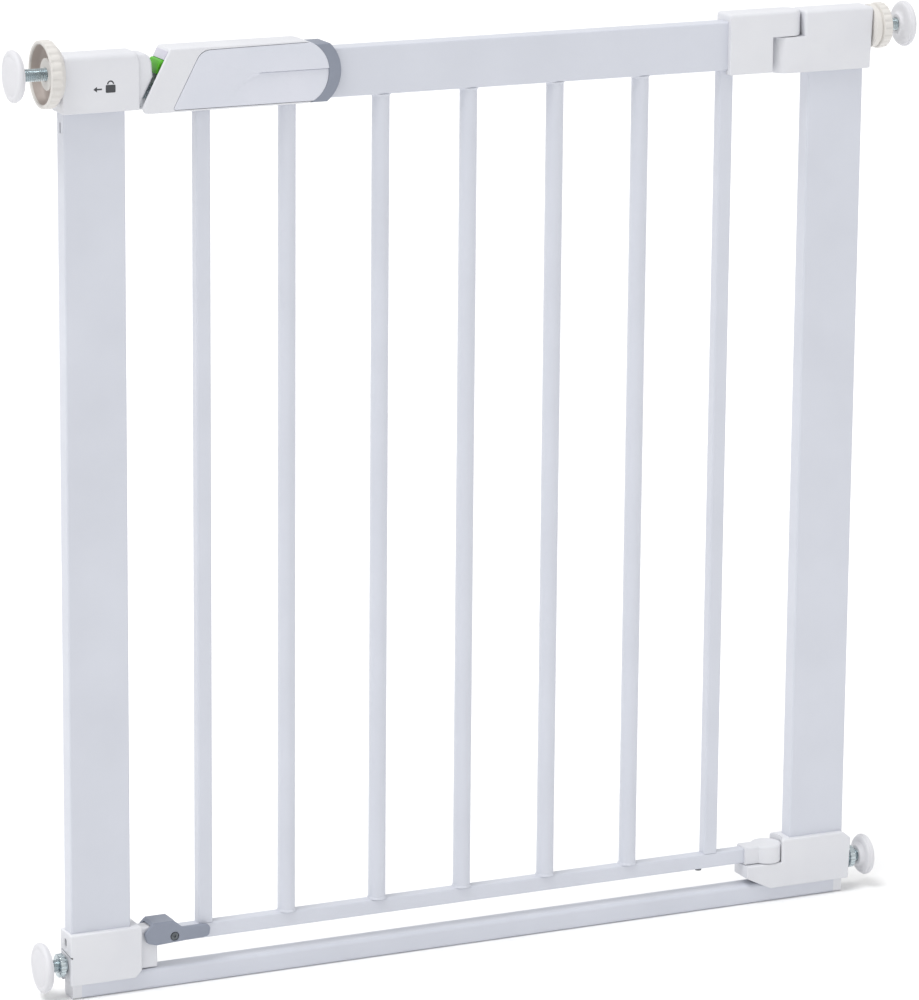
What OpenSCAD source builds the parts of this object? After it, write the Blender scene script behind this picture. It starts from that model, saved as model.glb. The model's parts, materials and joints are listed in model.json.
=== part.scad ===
// Pressure-fit stair gate: a U-shaped wall frame, a barred leaf that lifts and swings,
// a sliding latch handle with its bolt and indicator, and four screw adjusters.
// X runs along the gate, -Y is the front, +Z is up. Z = 0 is the underside of the floor rail,
// X = 0 is midway between the posts and Y = 0 is the middle plane of the gate.

/* [Frame] */
// Width over the outer faces of the two posts
frame_w = 689; // [688:0.5:690]
// Post width, seen from the front
post_w = 50; // [49:0.5:51]
// Post depth
post_d = 15; // [14.5:0.1:15.2]
// Height of the top end of the post tubes
post_top = 722; // [718:1:724]
// Wall of the steel tubes
tube_wall = 1.2; // [1:0.1:1.5]
// Height of the floor rail
floor_rail_h = 16.5; // [16:0.1:17]
// Depth of the floor rail
floor_rail_d = 18; // [17.6:0.1:18.4]
// Depth of the moulded caps and foot housings
cap_d = 24; // [23.6:0.1:24.4]

/* [Leaf] */
// Underside of the top rail
top_rail_z = 703; // [702.9:0.1:703.2]
// Height of the top rail
top_rail_h = 39; // [38.8:0.1:39.2]
// Left end of the top rail
top_rail_x0 = -242; // [-242:0.5:-240]
// Underside of the lower rail
low_rail_z = 35; // [34.8:0.1:35.2]
// Height of the lower rail
low_rail_h = 12.5; // [12:0.1:12.6]
// Depth of the lower rail and of the two square end bars
low_rail_d = 10; // [9.6:0.1:10]
// Diameter of the round bars
bar_dia = 14; // [13:0.5:14]
// Spacing of the bars
bar_pitch = 75.2; // [75:0.1:75.4]
// Width of the two square end bars
end_bar_w = 12; // [11:0.5:12.5]

/* [Hinge] */
// Position of the hinge axis along the gate
hinge_x = 276; // [275.8:0.1:276.2]
// Diameter of the hinge pins
pin_dia = 8; // [7:0.5:8]
// How far the leaf lifts off its catch
lift = 16; // [16:0.5:16.5]
// Radius of the round end of the upper hinge knuckle
knuckle_r = 12; // [11.8:0.1:12]
// Radius of the lower hinge knuckle
low_knuckle_r = 13; // [12.8:0.1:13.1]

/* [Handle] */
// Underside of the handle
handle_z0 = 701; // [701:0.1:701.2]
// Top of the handle
handle_z1 = 750; // [749:0.5:750]
// Depth of the handle
handle_d = 26; // [25.8:0.1:26.2]
// Travel of the handle when the bolt is drawn back
slide_travel = 12; // [11:0.5:12]
// Left end of the handle at its underside
handle_x0 = -285; // [-285:0.1:-284.8]
// Run of the slanted end for each millimetre of height
slant = 0.517; // [0.51:0.001:0.52]
// Radius of the rounded right end, seen from the front
handle_end_r = 25.3; // [25:0.1:25.5]
// Centre of the rounded right end
handle_end_x = -153.4; // [-154:0.1:-153]

/* [Adjusters] */
// Diameter of the screw spindles
spindle_dia = 10; // [9.8:0.1:10]
// Height of the upper left spindle
upper_left_z = 734.5; // [734:0.5:735]
// Height of the upper right spindle
upper_right_z = 730.5; // [730:0.5:731]
// Height of the lower spindles
lower_spindle_z = 27; // [26.5:0.5:27.5]
// Reach of the upper left wall pad from the middle of the gate
upper_left_reach = 384.5; // [384:0.5:386]
// Reach of the upper right wall pad
upper_right_reach = 388; // [387:0.5:390]
// Reach of the lower left wall pad
lower_left_reach = 369; // [368:0.5:371]
// Reach of the lower right wall pad
lower_right_reach = 372; // [371:0.5:374]
// Diameter of the two left wall pads
left_pad_dia = 40; // [38:0.5:40]
// Diameter of the upper right wall pad
upper_right_pad_dia = 37; // [36:0.5:38]
// Diameter of the lower right wall pad
lower_right_pad_dia = 34; // [34:0.5:36]
// Diameter of the big cup-shaped hand wheel
cup_wheel_dia = 52; // [51:0.5:52]
// Diameter of the knurled hand knob
knob_dia = 37; // [36:0.5:38]
// Diameter of the lower ring nuts
ring_nut_dia = 19; // [18:0.5:20]

/* [Hidden] */

$fn = 64;
eps = 0.1;                        // overshoot of cutting solids
run_fit = 0.05;                   // radial clearance of pins and spindles
slide_gap = 0.3;                  // clearance between bodies that slide past each other
steel_white = "gainsboro";
plastic_white = "whitesmoke";

post_x = frame_w / 2 - post_w;    // inner face of a post
cap_y = cap_d / 2;
pin_r = pin_dia / 2;
spindle_r = spindle_dia / 2;

// receiver cap and hinge cap
receiver_x0 = -346.5;
receiver_x1 = -284.3;
receiver_z0 = 704.5;
receiver_z1 = 749.3;
nose_y = 9.5;                     // half depth of the nose that meets the handle
nose_gap = 1.5;                   // gap between the nose and the slanted end of the handle
slot_y = 5.5;                     // half width of the bolt slot
slot_z0 = 711;
slot_end_x = -250;                // the slot is open towards the leaf
hinge_cap_x1 = 351;
spindle_hole_x = 292;             // inner end of the holes for the upper spindles
hinge_cap_z0 = 698;
hinge_cap_z1 = 748;
ledge_z = 727.3;                  // top of the round ledge that carries the leaf
ledge_r = 13;
lip_x = hinge_x + knuckle_r + 0.4;
edge_r = 1.5;                     // outer corner radius of the rectangular tubes
far = 400;                        // half length of cutting solids that run past the gate

// foot housings and floor rail
plug_inset = 8;                   // how far the rail ends lie inside the outer faces of the posts
foot_left_x0 = -346.5;
foot_left_x1 = -286.5;
foot_z0 = 12;
foot_z1 = 54;
foot_right_x1 = 350.5;
catch_x1 = -271.4;
catch_y = 6.5;
catch_z = 51;
housing_heel_x = -291;            // where the foot housing starts to slope up over the rail
knuckle_ledge_x0 = 253;
knuckle_wall_x = hinge_x + 9.5;
guide_len = 18;
guide_z0 = 19;
guide_z1 = 40;
screw_head_r = 3;
screw_r = 1.5;
screw_head_t = 2;
screw_fit = 0.1;                  // radial clearance of the screws
socket_r = 1.25;                  // hexagon sockets
screw_x = frame_w / 2 - post_w / 2;
cap_screw_z = 712;
foot_screw_z = 45;

// leaf
low_rail_x0 = -262;
low_rail_x1 = hinge_x - low_knuckle_r;
end_bars_x = [-229.6, 221.7];
leaf_cap_x0 = 221;
leaf_cap_flat_x = 260;
top_rail_x1 = leaf_cap_flat_x - 4;
leaf_cap_z0 = 699.5;
leaf_cap_z1 = 748.5;
overhang_z = 728;
first_bar_x = -158.2;
second_bar_x = -79;
round_bar_wall = 1;
buffer_x = 213;
collar_r = pin_r + 1.5;           // collar that keeps each pin in the leaf
collar_h = 2;
upper_collar_z = 735;
lower_collar_z = 38;
pin_roof = 4;                     // material over the top end of each pin
knuckle_z0 = 34;
knuckle_z1 = 49;
fork_y = 10.5;                     // half width over the two cheeks of the fork
cheek_y = 7;                      // half width between the cheeks
fork_screw_x = -258.3;
fork_screw_z = 41.8;
fork_recess = 2.2;                // depth of the recess round the screw head and nut

// handle
handle_y = handle_d / 2;
wall = 1.8;
roof_z = handle_z1 - 2.2;
floor_z = handle_z0 + 1.7;
end_z = 725;                      // height of the centre of the rounded right end
cover_gap = 0.15;
bolt_x0 = -284;
bolt_z0 = 712;
bolt_z1 = 722;
bolt_y = 5;
slot_z1 = bolt_z1 + lift + 1;     // tall enough for the bolt to rise with the leaf
plate_x0 = -258;
strip_x1 = -195;
seat_x = -160;
past_x = -120;                    // outlines run on to here before the rounded end trims them
spring_wire_r = 0.5;
spring_r = 1.9;
spring_z = 744.9;
bezel_z0 = 741.8;

// adjusters
pad_t = 10;                       // thickness of a wall pad
pad_seat = 8;                     // depth at which the spindle ends inside its pad

function slant_x(z) = handle_x0 + slant * (z - handle_z0);

// points of an arc about c, from angle a0 to angle a1
function arc(c, r, a0, a1, steps = 6) = [
    for (i = [0 : steps])
        let (a = a0 + (a1 - a0) * i / steps)
            c + r * [cos(a), sin(a)]
];

// a flat outline in X and Z, made into a slab from y0 to y1
module slab(y0, y1) {
    translate([0, y1, 0])
        rotate([90, 0, 0])
            linear_extrude(y1 - y0)
                children();
}

// a box given by its two corners
module box(p, q) {
    translate(p)
        cube(q - p);
}

// a cylinder along X from x0 to x1
module rod_x(x0, x1, r) {
    translate([x0, 0, 0])
        rotate([0, 90, 0])
            cylinder(r = r, h = x1 - x0);
}

// a cylinder along Y from y0 to y1
module rod_y(y0, y1, r) {
    translate([0, y1, 0])
        rotate([90, 0, 0])
            cylinder(r = r, h = y1 - y0);
}

// a cylinder on the hinge axis from z0 to z1
module on_hinge(z0, z1, r) {
    translate([hinge_x, 0, z0])
        cylinder(r = r, h = z1 - z0);
}

// outline of a rectangle with round corners, centred on the origin
module round_rect(w, h, r) {
    square([w - 2 * r, h], center = true);
    square([w, h - 2 * r], center = true);
    for (sx = [-1, 1])
        for (sy = [-1, 1])
            translate([sx * (w / 2 - r), sy * (h / 2 - r)])
                circle(r = r, $fn = 32);
}

// outline of the inside of a rectangular tube
module tube_bore(w, h, r) {
    round_rect(w - 2 * tube_wall, h - 2 * tube_wall, r - tube_wall / 2);
}

// outline of a tube wall
module tube_section(w, h, r) {
    difference() {
        round_rect(w, h, r);
        tube_bore(w, h, r);
    }
}

// ---------- frame ----------

// one post, with its screw holes, its spindle hole and a key slot in the outer face
module post() {
    key_y = 1.2;
    key_z0 = 689;
    difference() {
        translate([post_x + post_w / 2, 0, floor_rail_h])
            linear_extrude(post_top - floor_rail_h)
                tube_section(post_w, post_d, edge_r);
        for (z = [cap_screw_z, foot_screw_z])
            translate([screw_x, 0, z])
                rod_y(0, post_d, screw_r + screw_fit);
        translate([frame_w / 2 - 5, 0, lower_spindle_z])
            rod_x(0, 10, spindle_r + 0.5);
        box([frame_w / 2 - 5, -key_y, key_z0], [frame_w / 2 + 5, key_y, key_z0 + 8]);
    }
}

module left_post() {
    color(steel_white)
        mirror([1, 0, 0])
            post();
}

module right_post() {
    color(steel_white)
        post();
}

module rail_section() {
    translate([floor_rail_h / 2, 0])
        round_rect(floor_rail_h, floor_rail_d, 3);
}

module floor_rail() {
    rail_half = frame_w / 2 - plug_inset;
    rail_wall = 1.5;
    color(steel_white)
        difference() {
            translate([-rail_half, 0, 0])
                rotate([0, -90, 180])
                    linear_extrude(2 * rail_half)
                        difference() {
                            rail_section();
                            translate([floor_rail_h / 2, 0])
                                round_rect(floor_rail_h - 2 * rail_wall, floor_rail_d - 2 * rail_wall, 1.8);
                        }
            on_hinge(floor_rail_h - 5, floor_rail_h + 5, pin_r + slide_gap);
        }
}

module rail_end_plugs() {
    plug_x = frame_w / 2 - plug_inset;
    head_t = 7.5;
    shank = 12;
    shank_gap = 3.2;
    color("silver")
        for (side = [0, 1])
            mirror([side, 0, 0]) {
                translate([plug_x, 0, 0])
                    rotate([0, -90, 180])
                        linear_extrude(head_t)
                            rail_section();
                translate([plug_x - shank, 0, 0])
                    rotate([0, -90, 180])
                        linear_extrude(shank)
                            translate([floor_rail_h / 2, 0])
                                round_rect(floor_rail_h - shank_gap, floor_rail_d - shank_gap, 1.7);
            }
}

// hole for a screw that enters from the rear at height z
module screw_hole(x, z) {
    translate([x, 0, z]) {
        rod_y(post_d / 2 - eps, cap_y - screw_head_t, screw_r + screw_fit);
        rod_y(cap_y - screw_head_t, cap_y + eps, screw_head_r + screw_fit);
    }
}

module post_space(side, z0, z1) {
    mirror([side, 0, 0])
        box([post_x, -post_d / 2, z0], [frame_w / 2, post_d / 2, z1]);
}

// cap of the latch post, with the nose that meets the handle and the slot for the bolt
module receiver_cap() {
    nose_z = 729;
    color(plastic_white)
        difference() {
            union() {
                box([receiver_x0, -cap_y, receiver_z0], [receiver_x1, cap_y, receiver_z1]);
                slab(-nose_y, nose_y)
                    polygon([
                        [receiver_x1 - 1, receiver_z0],
                        [slant_x(receiver_z0) - nose_gap, receiver_z0],
                        [slant_x(nose_z) - nose_gap, nose_z],
                        [-272.4, 731.5],
                        [-273, 740],
                        [-274.6, 744.5],
                        [-278, 747.3],
                        [receiver_x1 - 1, receiver_z1 - 0.8]
                    ]);
            }
            post_space(1, receiver_z0 - eps, post_top);
            translate([0, 0, upper_left_z])
                rod_x(receiver_x0 - eps, -spindle_hole_x, spindle_r + run_fit);
            box([bolt_x0 - 1, -slot_y, slot_z0], [slot_end_x, slot_y, slot_z1]);
            screw_hole(-screw_x, cap_screw_z);
        }
}

module hinge_cap() {
    color(plastic_white)
        difference() {
            union() {
                slab(-cap_y, cap_y)
                    polygon([
                        [hinge_x, hinge_cap_z0],
                        [hinge_cap_x1 - 5, hinge_cap_z0],
                        [hinge_cap_x1 - 2, hinge_cap_z0 + 3],
                        [hinge_cap_x1, hinge_cap_z1],
                        [lip_x, hinge_cap_z1],
                        [lip_x, ledge_z],
                        [hinge_x, ledge_z]
                    ]);
                intersection() {
                    on_hinge(hinge_cap_z0, ledge_z, ledge_r);
                    box([hinge_x - 2 * ledge_r, -cap_y, hinge_cap_z0], [hinge_x + 1, cap_y, ledge_z]);
                }
            }
            post_space(0, hinge_cap_z0 - eps, post_top);
            on_hinge(hinge_cap_z0 - eps, ledge_z + eps, pin_r + run_fit);
            translate([0, 0, upper_right_z])
                rod_x(spindle_hole_x, hinge_cap_x1 + eps, spindle_r + run_fit);
            screw_hole(screw_x, cap_screw_z);
        }
}

module rail_space() {
    box([-far, -floor_rail_d / 2, -1], [far, floor_rail_d / 2, floor_rail_h]);
}

// foot of the latch post, with the block that the fork drops over
module left_foot_housing() {
    key_y = 1.2;
    key_z0 = 41.5;
    groove_z0 = 36;
    color(plastic_white)
        difference() {
            union() {
                slab(-cap_y, cap_y)
                    polygon([
                        [foot_left_x0, foot_z0],
                        [housing_heel_x, foot_z0],
                        [foot_left_x1, floor_rail_h + 1],
                        [foot_left_x1, foot_z1],
                        [foot_left_x0, foot_z1]
                    ]);
                box([foot_left_x1 - 1, -catch_y, floor_rail_h], [catch_x1, catch_y, catch_z]);
            }
            rail_space();
            post_space(1, 0, foot_z1 + eps);
            translate([0, 0, lower_spindle_z])
                rod_x(foot_left_x0 - eps, -frame_w / 2 + eps, spindle_r + run_fit);
            screw_hole(-screw_x, foot_screw_z);
            box([foot_left_x0 - 1, -key_y, key_z0], [foot_left_x0 + 1.4, key_y, key_z0 + 5.5]);
            box([foot_left_x0 - 1, -cap_y - 1, groove_z0], [foot_left_x0 + 1, cap_y + 1, groove_z0 + 1]);
        }
}

module right_foot_housing() {
    ledge_top = knuckle_z0 - 0.6;
    color(plastic_white)
        difference() {
            slab(-cap_y, cap_y)
                polygon([
                    [knuckle_ledge_x0, 23],
                    [hinge_x - 1, foot_z0],
                    [foot_right_x1 - 1.5, foot_z0],
                    [foot_right_x1, foot_z1 - 7],
                    [foot_right_x1 - 7.5, foot_z1 - 1],
                    [knuckle_wall_x, foot_z1 - 1],
                    [knuckle_wall_x, ledge_top],
                    [knuckle_ledge_x0, ledge_top]
                ]);
            rail_space();
            post_space(0, 0, foot_z1 + eps);
            on_hinge(ledge_top, foot_z1 + eps, low_knuckle_r + 0.8);
            on_hinge(foot_z0 - 2, ledge_top + eps, pin_r + run_fit);
            translate([0, 0, lower_spindle_z])
                rod_x(frame_w / 2 - eps, foot_right_x1 + eps, spindle_r + run_fit);
            screw_hole(screw_x, foot_screw_z);
        }
}

// blocks inside the feet of the posts that steer the lower spindles
module spindle_guides() {
    guide_x1 = frame_w / 2 - tube_wall;
    color("silver")
        for (side = [0, 1])
            mirror([side, 0, 0])
                difference() {
                    translate([0, 0, guide_z0])
                        linear_extrude(guide_z1 - guide_z0)
                            intersection() {
                                translate([post_x + post_w / 2, 0])
                                    tube_bore(post_w, post_d, edge_r);
                                translate([guide_x1 - guide_len, -post_d])
                                    square([guide_len + 1, 2 * post_d]);
                            }
                    translate([0, 0, lower_spindle_z])
                        rod_x(guide_x1 - guide_len - 1, guide_x1 + 1, spindle_r + run_fit);
                }
}

module cap_screws() {
    color("silver")
        for (x = [-screw_x, screw_x])
            for (z = [cap_screw_z, foot_screw_z])
                translate([x, 0, z]) {
                    difference() {
                        rod_y(cap_y - screw_head_t, cap_y - 0.2, screw_head_r);
                        rod_y(cap_y - 1.2, cap_y, socket_r, $fn = 6);
                    }
                    rod_y(post_d / 2 - 3, cap_y - screw_head_t, screw_r);
                }
}

// ---------- hinge pins ----------

module upper_hinge_pin() {
    color("silver") {
        on_hinge(hinge_cap_z0 + 1, leaf_cap_z1 - pin_roof - 2, pin_r);
        on_hinge(upper_collar_z, upper_collar_z + collar_h, collar_r);
    }
}

module lower_hinge_pin() {
    color("silver") {
        on_hinge(4, knuckle_z1 - pin_roof, pin_r);
        on_hinge(lower_collar_z, lower_collar_z + collar_h, collar_r);
    }
}

// ---------- leaf ----------

module top_rail() {
    mid_z = top_rail_z + top_rail_h / 2;
    color(steel_white)
        translate([top_rail_x0, 0, mid_z])
            rotate([90, 0, 90])
                linear_extrude(top_rail_x1 - top_rail_x0)
                    tube_section(post_d, top_rail_h, edge_r);
}

// plug in the left end of the top rail
module top_rail_plug() {
    head_t = 0.4;
    mid_z = top_rail_z + top_rail_h / 2;
    color("silver") {
        translate([top_rail_x0 - head_t, 0, mid_z])
            rotate([90, 0, 90])
                linear_extrude(head_t)
                    round_rect(post_d - 0.4, top_rail_h - 0.4, edge_r - 0.1);
        translate([top_rail_x0, 0, mid_z])
            rotate([90, 0, 90])
                linear_extrude(12)
                    round_rect(post_d - 2 * tube_wall - 0.1, top_rail_h - 2 * tube_wall - 0.1, 0.9);
    }
}

module lower_rail() {
    mid_z = low_rail_z + low_rail_h / 2;
    color(steel_white)
        difference() {
            translate([low_rail_x0, 0, mid_z])
                rotate([90, 0, 90])
                    linear_extrude(low_rail_x1 - low_rail_x0)
                        tube_section(low_rail_d, low_rail_h, edge_r);
            translate([fork_screw_x, 0, fork_screw_z])
                rod_y(-low_rail_d, low_rail_d, screw_r + screw_fit);
        }
}

module square_end_bars() {
    bar_z0 = low_rail_z + low_rail_h;
    color(steel_white)
        for (x = end_bars_x)
            translate([x, 0, bar_z0])
                linear_extrude(top_rail_z - bar_z0)
                    tube_section(end_bar_w, low_rail_d, edge_r);
}

module round_bars() {
    bar_z0 = low_rail_z + low_rail_h;
    color(steel_white)
        for (x = concat(first_bar_x, [for (i = [0 : 3]) second_bar_x + i * bar_pitch]))
            translate([x, 0, bar_z0])
                difference() {
                    cylinder(r = bar_dia / 2, h = top_rail_z - bar_z0);
                    translate([0, 0, -1])
                        cylinder(r = bar_dia / 2 - round_bar_wall, h = top_rail_z - bar_z0 + 2);
                }
}

module leaf_hinge_cap() {
    rail_z1 = top_rail_z + top_rail_h;
    color(plastic_white)
        difference() {
            union() {
                box([leaf_cap_x0, -cap_y, leaf_cap_z0], [leaf_cap_flat_x, cap_y, leaf_cap_z1]);
                box([leaf_cap_flat_x - 1, -cap_y, overhang_z], [hinge_x, cap_y, leaf_cap_z1]);
                on_hinge(overhang_z, leaf_cap_z1, knuckle_r);
            }
            box([leaf_cap_x0 - 1, -post_d / 2, top_rail_z],
                [top_rail_x1, post_d / 2, rail_z1]);
            box([leaf_cap_x0 - 1, -low_rail_d / 2, leaf_cap_z0 - 1],
                [end_bars_x[1] + end_bar_w / 2, low_rail_d / 2, top_rail_z + eps]);
            on_hinge(overhang_z - eps, leaf_cap_z1 - pin_roof - 1.8, pin_r + run_fit);
            on_hinge(upper_collar_z - run_fit, upper_collar_z + collar_h + run_fit, collar_r + run_fit);
        }
}

// knuckle on the end of the lower rail that turns on the lower pin
module lower_knuckle() {
    arm_y = 7.5;
    rail_z1 = low_rail_z + low_rail_h;
    color(plastic_white)
        difference() {
            union() {
                on_hinge(knuckle_z0, knuckle_z1, low_knuckle_r);
                box([knuckle_ledge_x0, -arm_y, knuckle_z0], [hinge_x, arm_y, knuckle_z1]);
            }
            box([knuckle_ledge_x0 - 1, -low_rail_d / 2, low_rail_z],
                [low_rail_x1, low_rail_d / 2, rail_z1]);
            on_hinge(knuckle_z0 - eps, knuckle_z1 - pin_roof + 0.2, pin_r + run_fit);
            on_hinge(lower_collar_z - run_fit, lower_collar_z + collar_h + run_fit, collar_r + run_fit);
        }
}

// fork that straddles the catch block, screwed to the end of the lower rail
module lower_catch_fork() {
    hood_z = 52;
    tail_x = -232;
    heel_x = -251.6;
    web_z0 = 36.6;
    web_z1 = low_rail_z + low_rail_h;
    recess_r = 3.8;
    mouth = [[heel_x, 37], [-273.8, 36], [-281.5, 38.5], [-283.8, 46], [-276, 54.2], [-258.2, 54.5],
        [heel_x, 48.4]];
    color("slategray")
        difference() {
            union() {
                slab(cheek_y, fork_y)
                    polygon(mouth);
                slab(-fork_y, -cheek_y) {
                    polygon(concat(mouth, [[tail_x, 48.2], [tail_x, 37.8]]));
                    translate([tail_x - 0.4, 43])
                        circle(r = 5.2);
                }
                slab(-fork_y, fork_y)
                    polygon([[-276, 54.2], [-258.2, 54.5], [-256, hood_z], [-278, hood_z]]);
                box([low_rail_x0, -cheek_y - eps, web_z0], [tail_x, 0, web_z1]);
                box([low_rail_x0, -1, web_z0], [heel_x, cheek_y + eps, web_z1]);
            }
            box([low_rail_x0 - 30, -low_rail_d / 2, low_rail_z - 1],
                [tail_x + 30, low_rail_d / 2, web_z1]);
            translate([fork_screw_x, 0, fork_screw_z]) {
                rod_y(-fork_y - 1, fork_y + 1, screw_r + screw_fit);
                rod_y(-fork_y - 1, -fork_y + fork_recess, recess_r);
                rod_y(fork_y - fork_recess, fork_y + 1, recess_r);
            }
        }
}

// screw and nut that hold the fork
module fork_screw() {
    seat_y = fork_y - fork_recess;
    color("gray")
        translate([fork_screw_x, 0, fork_screw_z]) {
            difference() {
                rod_y(-seat_y - 1.8, -seat_y, screw_head_r);
                rod_y(-fork_y, -seat_y - 1, socket_r, $fn = 6);
            }
            rod_y(-seat_y, seat_y, screw_r);
            rod_y(seat_y, seat_y + 1.6, 2.6, $fn = 6);
        }
}

// bracket on the top rail that the return spring pushes against
module spring_seat() {
    rail_z1 = top_rail_z + top_rail_h;
    seat_y = 4;
    color("silver") {
        box([seat_x, -seat_y, rail_z1], [seat_x + 8, seat_y, rail_z1 + 0.8]);
        box([seat_x, -seat_y, rail_z1], [seat_x + 1.2, seat_y, rail_z1 + 5.2]);
    }
}

module rail_buffer() {
    buffer_h = 2;
    color("dimgray")
        translate([buffer_x, 0, low_rail_z - buffer_h])
            cylinder(r = 2.6, h = buffer_h);
}

// ---------- handle ----------

// front outline of the handle, with its slanted left end and rounded right end
module handle_outline() {
    corner_r = 4;
    lean = atan(slant);
    corner_x = slant_x(handle_z0 + corner_r) + corner_r / cos(lean);
    intersection() {
        polygon(concat(
            arc([corner_x, handle_z0 + corner_r], corner_r, 270, 180 - lean),
            [[slant_x(handle_z1), handle_z1], [past_x, handle_z1], [past_x, handle_z0]]
        ));
        union() {
            translate([-far, handle_z0 - 1])
                square([far + handle_end_x, handle_z1 - handle_z0 + 2]);
            translate([handle_end_x, end_z])
                circle(r = handle_end_r, $fn = 96);
        }
    }
}

// outline of the side covers; grow widens it at the left and the top
module cover_outline(grow) {
    intersection() {
        polygon([
            [-257.6 - grow, 702.8],
            [-237.6 - grow, 740.4],
            [-234.6 - grow, 744.4],
            [-230.6 - grow, 746.6 + grow / 2],
            [-225.7 - grow, 747.2 + grow / 2],
            [past_x, 748.5 + grow / 2],
            [past_x, 702.8]
        ]);
        handle_outline();
    }
}

// hollow sliding body, open at the slanted end, with slots for the bars below it
module handle_core() {
    mouth_x1 = -270;
    bar_top_z = handle_z0 - 1;
    color(plastic_white)
        difference() {
            slab(-handle_y, handle_y)
                handle_outline();
            box([-far, -handle_y + wall, floor_z], [past_x, handle_y - wall, roof_z]);
            box([-far, -nose_y - 0.8, bar_top_z], [mouth_x1, nose_y + 0.8, floor_z + eps]);
            for (x = [end_bars_x[0], first_bar_x])
                box([x - bar_dia / 2 - slide_travel - 1, -bar_dia / 2 - 0.5, bar_top_z],
                    [x + bar_dia / 2 + 1, bar_dia / 2 + 0.5, floor_z + eps]);
            slab(-handle_y - 1, -handle_y + wall)
                cover_outline(cover_gap);
            slab(handle_y - wall, handle_y + 1)
                cover_outline(cover_gap);
        }
}

// a clipped-on side cover with its seating lip and the shallow finger recess
module side_cover() {
    lip_t = 1.4;
    recess = 0.8;
    difference() {
        union() {
            slab(-handle_y, -handle_y + wall)
                cover_outline(0);
            intersection() {
                slab(-handle_y + wall, -handle_y + wall + lip_t)
                    cover_outline(1.2);
                box([-far, -handle_y, floor_z + cover_gap], [past_x, 0, roof_z - cover_gap]);
            }
        }
        slab(-handle_y - 1, -handle_y + recess)
            polygon([
                [-214.2, 700],
                [-205.9, 719.9],
                [-200, 725],
                [-192.7, 727.1],
                [past_x, 727.4],
                [past_x, 700]
            ]);
    }
}

module handle_front_cover() {
    color(plastic_white)
        side_cover();
}

module handle_rear_cover() {
    color(plastic_white)
        mirror([0, 1, 0])
            side_cover();
}

module handle_end_collar() {
    collar_x = -147.2;
    collar_end_r = 29.4;
    collar_y = handle_y - 0.4;
    collar_z0 = handle_z0 + 0.4;
    collar_z1 = handle_z1 - 3.5;
    rail_z1 = top_rail_z + top_rail_h;
    color("lightslategray")
        difference() {
            slab(-collar_y, collar_y)
                intersection() {
                    difference() {
                        translate([collar_x, end_z])
                            circle(r = collar_end_r, $fn = 96);
                        translate([handle_end_x, end_z])
                            circle(r = handle_end_r + cover_gap, $fn = 96);
                    }
                    translate([handle_end_x + 2, collar_z0])
                        square([60, collar_z1 - collar_z0]);
                }
            box([collar_x - 2 * collar_end_r, -post_d / 2 - slide_gap, top_rail_z - slide_gap],
                [collar_x + 2 * collar_end_r, post_d / 2 + slide_gap, rail_z1 + slide_gap]);
        }
}

// stamped steel bolt: tip, upright plate, and the strip under the roof that holds the spring
module latch_bolt() {
    plate_y = 8;
    plate_x1 = plate_x0 + 3;
    strip_y = 5.5;
    strip_t = 2;
    color("silver") {
        box([bolt_x0, -bolt_y, bolt_z0], [plate_x1, bolt_y, bolt_z1]);
        box([plate_x0, -plate_y, bolt_z0], [plate_x1, plate_y, roof_z]);
        box([plate_x0, -strip_y, roof_z - strip_t], [strip_x1, strip_y, roof_z]);
        box([strip_x1 - strip_t, -strip_y, top_rail_z + top_rail_h + slide_gap],
            [strip_x1, strip_y, roof_z]);
    }
}

// flag in the mouth of the handle that shows the bolt is home
module indicator_flag() {
    flag_x0 = -268.4;
    flag_z0 = 730;
    low_y = 6;
    top_y = handle_y - wall - 0.3;
    color("limegreen")
        translate([flag_x0, 0, 0])
            rotate([90, 0, 90])
                linear_extrude(plate_x0 - flag_x0)
                    polygon([
                        [-low_y, flag_z0],
                        [low_y, flag_z0],
                        [top_y, bezel_z0 - 0.4],
                        [-top_y, bezel_z0 - 0.4]
                    ]);
}

// strip that closes the mouth of the handle above the flag
module indicator_bezel() {
    bezel_y = handle_y - wall - 0.1;
    bezel_t = 2;
    set_back = 0.6;
    color("lightsteelblue")
        slab(-bezel_y, bezel_y)
            polygon([
                [slant_x(bezel_z0) - set_back, bezel_z0],
                [slant_x(roof_z) - set_back, roof_z],
                [slant_x(roof_z) + bezel_t, roof_z],
                [slant_x(bezel_z0) + bezel_t, bezel_z0]
            ]);
}

// compression spring between the bolt strip and the seat on the top rail
module return_spring() {
    color("silver")
        translate([0, 0, spring_z])
            difference() {
                rod_x(strip_x1, seat_x, spring_r + spring_wire_r);
                rod_x(strip_x1 - 1, seat_x + 1, spring_r - spring_wire_r);
            }
}

// ---------- adjusters ----------

// children are drawn for an adjuster on the right and mirrored when side is 1
module adjuster(side, z) {
    mirror([side, 0, 0])
        translate([0, 0, z])
            children();
}

// round notches along the rim of a wheel
module grip_notches(x0, x1, r, count, notch_r) {
    for (i = [0 : count - 1])
        rotate([(i + 0.5) * 360 / count, 0, 0])
            translate([0, 0, r + notch_r * 0.6])
                rod_x(x0, x1, notch_r);
}

module spindle(reach, length) {
    rod_x(reach - pad_seat - length, reach - pad_seat, spindle_r);
}

module wall_pad(reach, dia) {
    face_r = dia / 2 - 2;
    rim_r = dia / 2;
    difference() {
        rotate([0, 90, 0])
            rotate_extrude()
                polygon([
                    [0, reach],
                    [face_r, reach],
                    [rim_r - 0.5, reach - 0.8],
                    [rim_r, reach - 2],
                    [rim_r, reach - 5],
                    [rim_r - 1.5, reach - 6.5],
                    [spindle_r + 4, reach - pad_seat],
                    [spindle_r + 2.5, reach - pad_t],
                    [0, reach - pad_t]
                ]);
        rod_x(reach - pad_t - 1, reach - pad_seat, spindle_r + 0.02);
    }
}

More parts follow.
